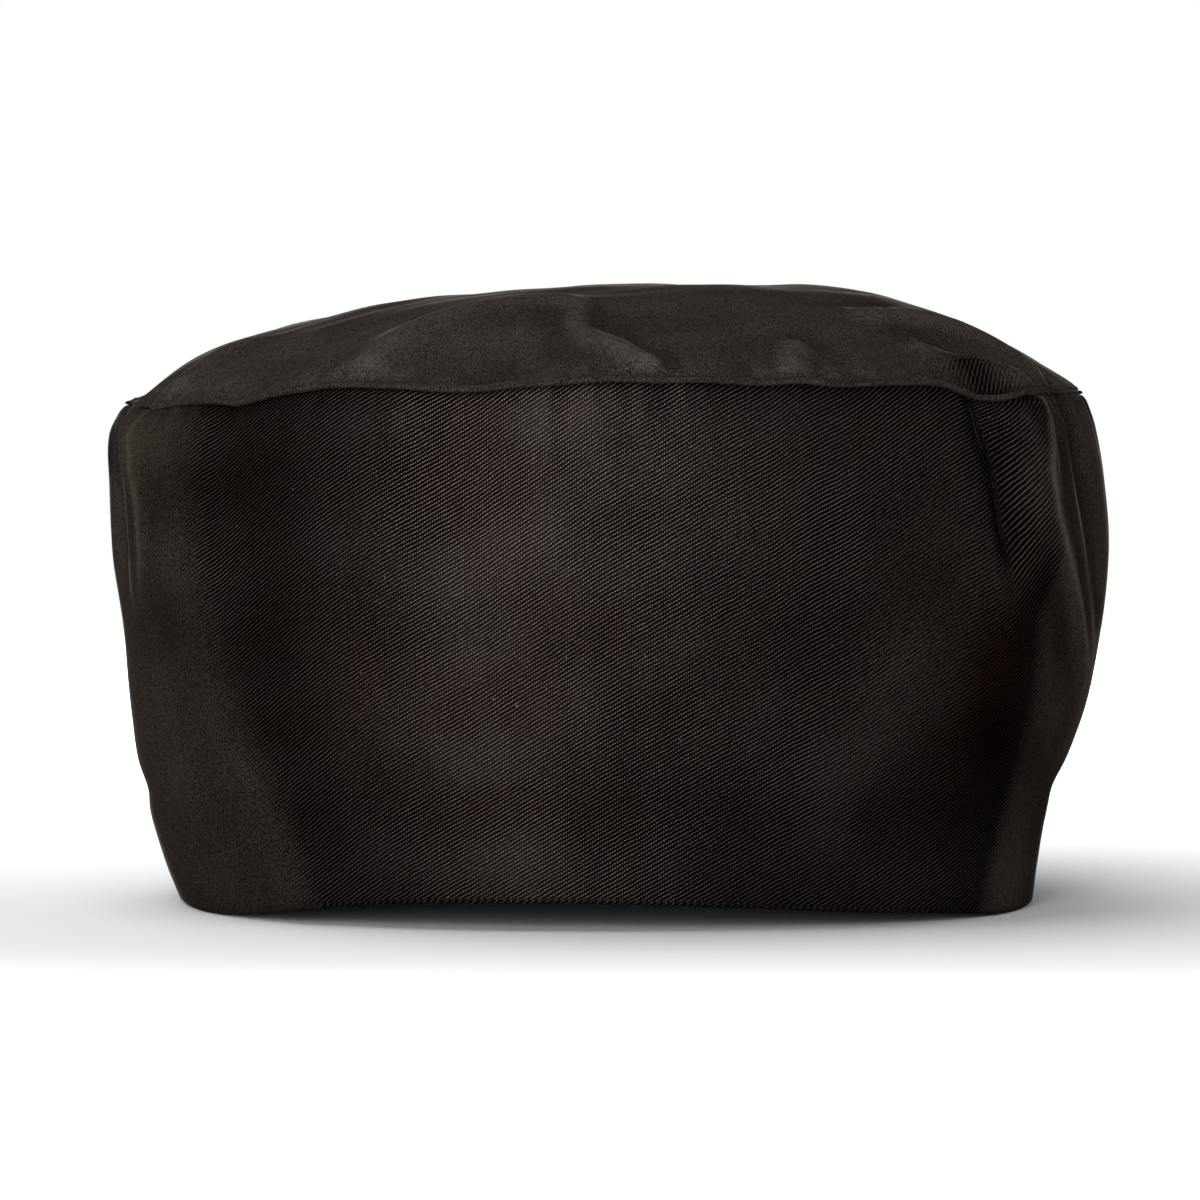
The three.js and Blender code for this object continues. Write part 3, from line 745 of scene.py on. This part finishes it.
def rolled_face():
    """The outer face, rounded inwards towards the seam."""
    rolled = np.clip((outer_ups - ROLL_START) / (1 - ROLL_START), 0, 1)
    return outer_face - SEAM_ROLL * (1 - np.sqrt(1 - rolled**2))[:, None, None] * seam_out


def inner_face():
    """Rings down the inner face from the seam, and where each lies along the cloth."""
    ups = np.linspace(1.0, LOW_UP, INNER_ROWS)
    face = band_grid(turns, ups[::-1], detail=INNER_DETAIL)
    face = (face - outward(face) * BAND_WALL)[::-1]
    face[0] = seam - seam_out * BAND_WALL
    return face, BAND_HEIGHT * 2 - ups * BAND_HEIGHT


hem_rings, hem_lengths = hem_fold()
inner_rings, inner_lengths = inner_face()
band_rings = [*hem_rings, *rolled_face(), *inner_rings]
# Where each row lies along the cloth, up the outer face and on down the inner one, and where the skin closes.
row_lengths = np.array([*hem_lengths, *(outer_ups * BAND_HEIGHT), *inner_lengths, inner_lengths[-1] + 1])
row_ups = np.where(row_lengths > BAND_HEIGHT, 2 - row_lengths / BAND_HEIGHT, row_lengths / BAND_HEIGHT)

# The cloth's length round the band is measured with LAID_FOLDS of its folds and none of its detail. Round the
# back it is as long at the hem as at its widest and is gathered in, from this turn and over this reach.
LAID_FOLDS = 0.5
GATHERED_FROM = 0.2
GATHERED_REACH = 0.3
# Along the front right crease the seam takes up TUCK more cloth than lies lower down, so that the weave
# slants more there. It is taken up over TUCK_WIDTH in turns and given back from TUCK_BACK on, and it grows
# from the height TUCK_UP to the seam.
TUCK = 20.0
TUCK_WIDTH = 0.0016
TUCK_BACK = 0.165
TUCK_BACK_WIDTH = 0.06
TUCK_UP = 0.5


def laid_flat(ring):
    """Distance along a ring of points from its front, with one more value where it closes."""
    steps = np.linalg.norm(np.roll(ring, -1, axis=0) - ring, axis=1)
    along = np.concatenate([[0], np.cumsum(steps)])
    return along - along[front_column]


def tucked(ups):
    """How much more cloth the seam has taken up at each place, in millimetres."""
    line = np.interp(ups, *zip(*RIGHT_CREASE.line))
    given_back = ease((uv_turns - TUCK_BACK) / TUCK_BACK_WIDTH)
    taken = ease((uv_turns - line) / TUCK_WIDTH + 0.5) * (1 - given_back)
    return TUCK * taken * ease((ups - TUCK_UP) / (1 - TUCK_UP))


def band_places():
    """Where each point of the band lies on its cloth, in metres."""
    smooth_rings = band_grid(turns, row_ups[:-1], detail=0, folds=LAID_FOLDS)
    along = np.array([laid_flat(ring) for ring in smooth_rings])
    round_length = np.ptp(along, axis=1)[:, None]
    gathered = ease((np.abs(uv_turns) - GATHERED_FROM) / GATHERED_REACH)
    places = np.empty((len(row_lengths), len(uv_turns), 2))
    places[:-1, :, 0] = along * mix(1, round_length.max() / round_length, gathered)
    places[-1, :, 0] = places[0, :, 0]
    places[..., 1] = row_lengths[:, None]
    places[..., 0] += tucked(np.append(row_ups[:-1], row_ups[0])[:, None])
    return places * MM


# The band's corners, where it turns edge-on, are smoothed to an even, lighter nap that paints the sheen of
# cloth seen edge-on, and are rough and matt there. Each row has a share of height, the turns at which the nap
# begins left and right of the front, and how softly it begins on the right. On the left its softness is the
# blend that follows the rows, as it is at the turn that follows them, where the nap ends on both sides.
PAINTED_SHEEN_EDGES = [
    (0.0, -0.1235, 0.1645, 0.01), (0.15, -0.124, 0.165, 0.012), (0.3, -0.126, 0.1615, 0.014),
    (0.42, -0.13, 0.157, 0.012), (0.58, -0.138, 0.15, 0.01), (0.66, -0.1405, 0.155, 0.007),
    (0.7, -0.1415, 0.156, 0.005), (0.8, -0.143, 0.15, 0.005), (0.86, -0.145, 0.148, 0.005),
    (0.92, -0.146, 0.1505, 0.005), (1.0, -0.15, 0.156, 0.005),
]
PAINTED_SHEEN_TO = 0.225
PAINTED_SHEEN_BLEND = 0.02
# Steps away at which a place is set against the cloth round it. One that stands RIDGE_HEIGHT proud has a
# ridge mark of 1; one that is sunk gets a mark below 0, which paints shade in the hollow.
RIDGE_STEPS = 7
RIDGE_HEIGHT = 0.5
RIDGE_LIMITS = (-0.3, 1)
PALE_WIDTH = 0.0017
# Patches of painted shade, darker and redder: how much, and the middle and reach of each in turns and in
# share of height. Where the amount is negative, the patch is painted light, paler instead.
PAINTED_SHADE_AND_LIGHT = [
    (1.3, -0.116, 0.026, 0.88, 0.2), (0.7, -0.11, 0.014, 0.35, 0.3), (0.9, 0.13, 0.036, 0.38, 0.24),
    (0.75, 0.1, 0.042, 0.82, 0.35), (0.7, 0.175, 0.02, 0.85, 0.14), (0.6, -0.152, 0.02, 0.79, 0.25),
    (0.8, -0.14, 0.025, 0.33, 0.13), (0.8, -0.05, 0.03, 0.86, 0.16), (0.3, 0.16, 0.012, 0.5, 0.15),
    (-2.6, 0.185, 0.02, 0.06, 0.12),
]
# A place where the weave is half smoothed to the nap of painted sheen, and places tinted redder; the one
# under the right corner is painted shade.
SOFTENED = [(0.42, 0.105, 0.035, 0.55, 0.4)]
REDDENED = [(1.0, 0.135, 0.016, 0.42, 0.22), (0.3, -0.08, 0.03, 0.4, 0.2)]


def corner_painted_sheen(ups):
    edges = np.array(PAINTED_SHEEN_EDGES)
    left, right, right_blend = (np.interp(ups, edges[:, 0], edges[:, k])[:, None] for k in (1, 2, 3))
    past = np.maximum((left - turns) / PAINTED_SHEEN_BLEND, (turns - right) / right_blend)
    return ease(past / 2 + 0.5) * ease((PAINTED_SHEEN_TO - np.abs(turns)) / PAINTED_SHEEN_BLEND / 2 + 0.5)


def patch(amount, turn, turn_reach, up, up_reach):
    """A soft round patch on the outer face."""
    sideways = ((turns[None, :] - turn) / turn_reach) ** 2
    upwards = ((outer_ups[:, None] - up) / up_reach) ** 2
    return amount * np.exp(-sideways - upwards)


def patches(places):
    return sum(patch(*place) for place in places)


def pale_line(crease):
    """The pale line along a crease of the outer face."""
    narrow = crease._replace(left=PALE_WIDTH, right=PALE_WIDTH)
    return crease.pale * crease_mark(narrow, turns[None, :], outer_ups[:, None])


def band_marks():
    """What the band's material reads at each point: how far it is smoothed to the nap of painted sheen, how
    pale or dark, with painted shade in its hollows and patches, and how red.
    """
    convex = convexity(outer_face, outward(outer_face), RIDGE_STEPS)
    pale = sum(pale_line(crease) for crease in (RIGHT_RIDGE, LEFT_RIDGE))
    nap_and_painted_sheen = corner_painted_sheen(np.clip(row_ups[:-1], 0, 1))
    ridge = np.zeros_like(nap_and_painted_sheen)
    red = np.zeros_like(nap_and_painted_sheen)
    outside = slice(HEM_ROWS, HEM_ROWS + len(outer_ups))
    # Paler on ridges and along creases, darker in hollows and in the patches: painted shade.
    ridge[outside] = np.clip(convex / RIDGE_HEIGHT, *RIDGE_LIMITS) + pale - patches(PAINTED_SHADE_AND_LIGHT)
    nap_and_painted_sheen[outside] = np.maximum(nap_and_painted_sheen[outside], patches(SOFTENED))
    # The red tint; under the right corner it is painted shade.
    red[outside] = patches(REDDENED)
    return [("nap_and_painted_sheen", nap_and_painted_sheen), ("ridge", ridge), ("red", red)]


side_band = mesh_object("cap_band", band_rings, band_places(), band_cloth, loop=True, marks=band_marks())
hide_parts("side_band")

# The top panel's skin: outer face from the middle out, rolled edge, inner face back to the middle.
# Rings of the outer face: a share to begin at and how many follow, and the same again nearer the seam.
PANEL_SPANS = [(0.02, 54), (0.86, 34)]
PANEL_END = 0.985
# The inner face: its outermost and innermost shares, and how many rings it has.
INNER_PANEL_SPAN = (0.965, 0.05, 16)
# How much of the nap of painted sheen the panel and its lip have, and how far a place stands proud where its
# ridge mark is 1, which paints highlight on its ridges and shade in its hollows.
TOP_PAINTED_SHEEN = 0.8
LIP_PAINTED_SHEEN = 0.66
PANEL_RIDGE_STEPS = 4
PANEL_RIDGE_HEIGHT = 0.32
PANEL_RIDGE_LIMITS = (-0.4, 1.2)
# The weave shows on the panel only above the front right corner, by TOP_WEAVE, from TOP_WEAVE_SHARE outwards.
TOP_WEAVE = 0.8
TOP_WEAVE_TURN = 0.139
TOP_WEAVE_REACH = 0.011
TOP_WEAVE_SHARE = 0.86
TOP_WEAVE_BLEND = 0.05


def panel_rows():
    """Shares of the rings of the panel's outer face."""
    (start, coarse), (near_seam, fine) = PANEL_SPANS
    return np.concatenate([
        np.linspace(start, near_seam, coarse, endpoint=False), np.linspace(near_seam, PANEL_END, fine),
    ])


def rolled_edge():
    """Rings of the panel's lip, out over the seam and back under it, and the same rings laid flat."""
    side = ease((np.abs(turns) - LIP_SIDE_FROM) / LIP_SIDE_REACH)
    tall = mix(*LIP_TALL, side)
    fuller = LIP_FULLER
    for count, phase in LIP_WAVES:
        fuller = fuller * np.sin(turns * 2 * math.pi * count + phase)
    rings, flat_rings = [], []
    laid, before = 0, LIP_PROFILE[0]
    for out, up in LIP_PROFILE:
        laid += np.hypot(out - before[0], up - before[1])
        before = (out, up)
        ring = seam + seam_out * (out * (1 + fuller) - LIP_DRAW * side)[:, None]
        ring[:, 2] += up * (tall if up > 0 else 1) + SEAM_GAP
        rings.append(ring)
        flat_rings.append(seam + seam_out * (LIP_PROFILE[0][0] + laid))
    return rings, flat_rings


def panel_inside():
    """Rings of the panel's inner face, and the same rings on its outer face."""
    outside = top_grid(turns, np.linspace(*INNER_PANEL_SPAN))
    normals = -outward(outside[::-1])[::-1]
    normals *= np.sign(normals[..., 2:3])
    return outside - normals * TOP_WALL, outside


panel_shares = panel_rows()
panel = top_grid(turns, panel_shares)
lip_rings, lip_flat = rolled_edge()
inside_rings, inside_flat = panel_inside()
top_rings = [*panel, *lip_rings, *inside_rings]
middle = top_grid(turns[:1], np.array([0.0]))[0, 0]


def top_places():
    """Where each point of the panel lies on its cloth, in metres."""
    flat_rings = [ring[:, :2] for ring in (*panel, *lip_flat, *inside_flat)]
    return np.array([np.vstack([ring, ring[:1]]) for ring in flat_rings]) * MM


def top_marks():
    """What the panel's material reads at each point: how far it is smoothed to the nap of painted sheen, and
    how pale or dark, painted highlight on its ridges and painted shade in its hollows.
    """
    convex = convexity(panel, -outward(panel), PANEL_RIDGE_STEPS)
    ridge = np.zeros((len(top_rings), len(turns)))
    ridge[:len(panel)] = np.clip(convex / PANEL_RIDGE_HEIGHT, *PANEL_RIDGE_LIMITS)
    above_corner = np.exp(-(from_front(turns - TOP_WEAVE_TURN) / TOP_WEAVE_REACH) ** 2)[None, :]
    near_seam = ease((panel_shares[:, None] - TOP_WEAVE_SHARE) / TOP_WEAVE_BLEND)
    nap_and_painted_sheen = np.full_like(ridge, TOP_PAINTED_SHEEN)
    nap_and_painted_sheen[:len(panel)] -= TOP_PAINTED_SHEEN * TOP_WEAVE * above_corner * near_seam
    nap_and_painted_sheen[len(panel):len(panel) + len(LIP_PROFILE)] = LIP_PAINTED_SHEEN
    return [("nap_and_painted_sheen", nap_and_painted_sheen[::-1]), ("ridge", ridge[::-1])]


top_panel = mesh_object(
    "cap_top", top_rings[::-1], top_places()[::-1], top_cloth, loop=False,
    poles=[(middle - [0, 0, TOP_WALL], True), (middle, False)], marks=top_marks(),
)
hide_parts("top_panel")

# Stitches: short threads that dip into the cloth at both ends.
STITCH_LENGTH = 1.9
STITCH_STEP = 2.6
STITCH_RISE = 0.3
STITCH_DEPTH = 0.43
THREAD_RADIUS = 0.13
THREAD_SIDES = 6
THREAD_STEPS = 6
# Turns of the places where the edge stitches lie proud and how far those reach, and how proud they lie there.
STITCH_PROUD = [(0.012, 0.009), (0.112, 0.006), (-0.06, 0.004), (0.31, 0.02), (-0.36, 0.02)]
STITCH_PROUD_BY = 0.28
# How far beside each line of stitches the slope of the cloth is read, as a share of the panel or the height.
BESIDE_EDGE = 0.004
BESIDE_CASING = 0.01
# The casing's stitches stop CASING_STITCH_INSET of a turn short of its ends.
CASING_STITCH_INSET = 0.05
CASING_STITCH_POINTS = 500


def thread_points(centre, out):
    """Rings of points round the middle line of one stitch."""
    forward = np.gradient(centre, axis=0)
    forward /= np.linalg.norm(forward, axis=1, keepdims=True)
    side = np.cross(forward, out)
    side /= np.linalg.norm(side, axis=1, keepdims=True)
    above = np.cross(side, forward)
    points = []
    for k in range(THREAD_STEPS + 1):
        for j in range(THREAD_SIDES):
            angle = 2 * math.pi * j / THREAD_SIDES
            ring = side[k] * math.cos(angle) + above[k] * math.sin(angle)
            points.append(centre[k] + ring * THREAD_RADIUS)
    return points


def thread_faces(base):
    """Sides and ends of one stitch whose first point has the number base."""
    faces = []
    for k in range(THREAD_STEPS):
        for j in range(THREAD_SIDES):
            a, b = base + k * THREAD_SIDES + j, base + k * THREAD_SIDES + (j + 1) % THREAD_SIDES
            faces.append([a, b, b + THREAD_SIDES, a + THREAD_SIDES])
    faces.append([base + j for j in reversed(range(THREAD_SIDES))])
    faces.append([base + THREAD_STEPS * THREAD_SIDES + j for j in range(THREAD_SIDES)])
    return faces


def stitch_row(name, path, normals, proud, material):
    """A row of stitches along a path of points, with the outward direction and the height at each."""
    steps = np.linalg.norm(np.diff(path, axis=0), axis=1)
    length = np.concatenate([[0], np.cumsum(steps)])
    arch = np.sin(np.linspace(0, math.pi, THREAD_STEPS + 1))[:, None]
    points, faces = [], []
    for number in range(int(length[-1] / STITCH_STEP)):
        where = number * STITCH_STEP + np.linspace(0, STITCH_LENGTH, THREAD_STEPS + 1)
        centre = np.stack([np.interp(where, length, path[:, k]) for k in range(3)], -1)
        out = np.stack([np.interp(where, length, normals[:, k]) for k in range(3)], -1)
        centre = centre + out * (arch * STITCH_RISE - STITCH_DEPTH + np.interp(where[0], length, proud))
        faces.extend(thread_faces(len(points)))
        points.extend(thread_points(centre, out))
    mesh = bpy.data.meshes.new(name)
    mesh.from_pydata(((np.array(points) + CENTRING) * MM).tolist(), [], faces)
    made = show(name, mesh, material)
    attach(made, "root")
    return made


edge_shares = np.array([STITCH_SHARE - BESIDE_EDGE, STITCH_SHARE, STITCH_SHARE + BESIDE_EDGE])
near_edge = top_grid(turns, edge_shares)
edge_normals = -outward(near_edge)[1]
edge_proud = sum(np.exp(-((from_front(turns - at) / reach) ** 2)) for at, reach in STITCH_PROUD)
edge_stitches = stitch_row("edge_stitches", near_edge[1], edge_normals, edge_proud * STITCH_PROUD_BY, thread)

casing_turns = np.linspace(
    CASING_FROM + CASING_STITCH_INSET, CASING_TO - CASING_STITCH_INSET, CASING_STITCH_POINTS,
)
casing_up = CASING_HEIGHT / BAND_HEIGHT
casing_ups = np.array([casing_up - BESIDE_CASING, casing_up, casing_up + BESIDE_CASING])
near_casing = band_grid(casing_turns, casing_ups)
casing_normals = np.cross(np.gradient(near_casing[1], axis=0), near_casing[2] - near_casing[0])
casing_normals /= np.linalg.norm(casing_normals, axis=1, keepdims=True)
casing_proud = np.full(len(casing_turns), STITCH_PROUD_BY / 2)
casing_stitches = stitch_row("casing_stitches", near_casing[1], casing_normals, casing_proud, thread)

# Floor and surroundings. The camera sees a white backdrop, and the cap a dim fill.
FLOOR_SIZE = 3.2
FILL_STRENGTH = 0.07
BACKDROP_STRENGTH = 1.0
WHITE = (1, 1, 1, 1)
floor_material = plain_material("floor_white", colour=(0.95, 0.95, 0.95), roughness=0.9)
bpy.ops.mesh.primitive_plane_add(size=FLOOR_SIZE, location=(0, -0.2, 0))
floor = bpy.context.object
floor.name = "floor"
floor.data.materials.append(floor_material)

world = bpy.data.worlds.new("studio")
bpy.context.scene.world = world
world.use_nodes = True
sky = world.node_tree
fill = sky.nodes["Background"]
fill.inputs["Color"].default_value = WHITE
fill.inputs["Strength"].default_value = FILL_STRENGTH
seen = sky.nodes.new("ShaderNodeBackground")
seen.inputs["Color"].default_value = WHITE
seen.inputs["Strength"].default_value = BACKDROP_STRENGTH
path = sky.nodes.new("ShaderNodeLightPath")
choose = sky.nodes.new("ShaderNodeMixShader")
sky.links.new(path.outputs["Is Camera Ray"], choose.inputs[0])
sky.links.new(fill.outputs[0], choose.inputs[1])
sky.links.new(seen.outputs[0], choose.inputs[2])
sky.links.new(choose.outputs[0], sky.nodes["World Output"].inputs[0])


# Lights, in metres: place, what each points at, its width, height and power.
def area_light(name, location, target, width, height, power, spread=180):
    light = bpy.data.lights.new(name, "AREA")
    light.shape = "RECTANGLE"
    light.size, light.size_y = width, height
    light.energy = power
    light.spread = math.radians(spread)
    made = bpy.data.objects.new(name, light)
    made.location = location
    direction = np.array(target) - np.array(location)
    made.rotation_euler = Vector(direction).to_track_quat("-Z", "Y").to_euler()
    made.visible_camera = False
    bpy.context.scene.collection.objects.link(made)
    return made


area_light("key", (-0.34, -1.47, 0.34), (0, 0, 0.06), 0.55, 0.7, 17)
area_light("side", (-1.2, -0.2, 0.5), (0, 0, 0.06), 0.6, 0.6, 2)
area_light("overhead", (-0.5, -0.2, 1.9), (0, 0, 0.1), 1.4, 1.4, 20)
area_light("side_right", (1.2, -0.5, 0.4), (0, 0, 0.06), 0.6, 0.6, 1.5)
area_light("rim_left", (-1.1, 0.9, 0.5), (0, 0, 0.06), 0.9, 0.9, 5)
area_light("rim_right", (1.1, 0.9, 0.5), (0, 0, 0.06), 0.9, 0.9, 5)
area_light("rim_top", (0, 1.3, 1.1), (0, 0, 0.1), 1.2, 0.5, 4)
area_light("backdrop", (0, 0.8, 1.2), (0, 0.8, 0), 3.4, 0.9, 29, spread=40)
area_light("foreground", (0, -0.55, 1.0), (0, -0.55, 0), 2.0, 0.6, 10, spread=20)

# Camera, in metres but for the sensor and AIM. It looks at AIM on the cap, from a little above.
CAMERA_DISTANCE = 1.1
CAMERA_RISE = math.radians(2)
FRAME_WIDTH = 0.252
SENSOR_WIDTH = 36
AIM = [-1.68, 0.0, 62.5]
aim = np.array(AIM) * MM + CENTRING * MM
camera_data = bpy.data.cameras.new("camera")
camera_data.lens = SENSOR_WIDTH * CAMERA_DISTANCE / FRAME_WIDTH
camera = bpy.data.objects.new("camera", camera_data)
camera.location = aim + CAMERA_DISTANCE * np.array([0, -math.cos(CAMERA_RISE), math.sin(CAMERA_RISE)])
camera.rotation_euler = (math.pi / 2 - CAMERA_RISE, 0, 0)
bpy.context.scene.collection.objects.link(camera)
bpy.context.scene.camera = camera
bpy.context.scene.view_settings.view_transform = "Standard"
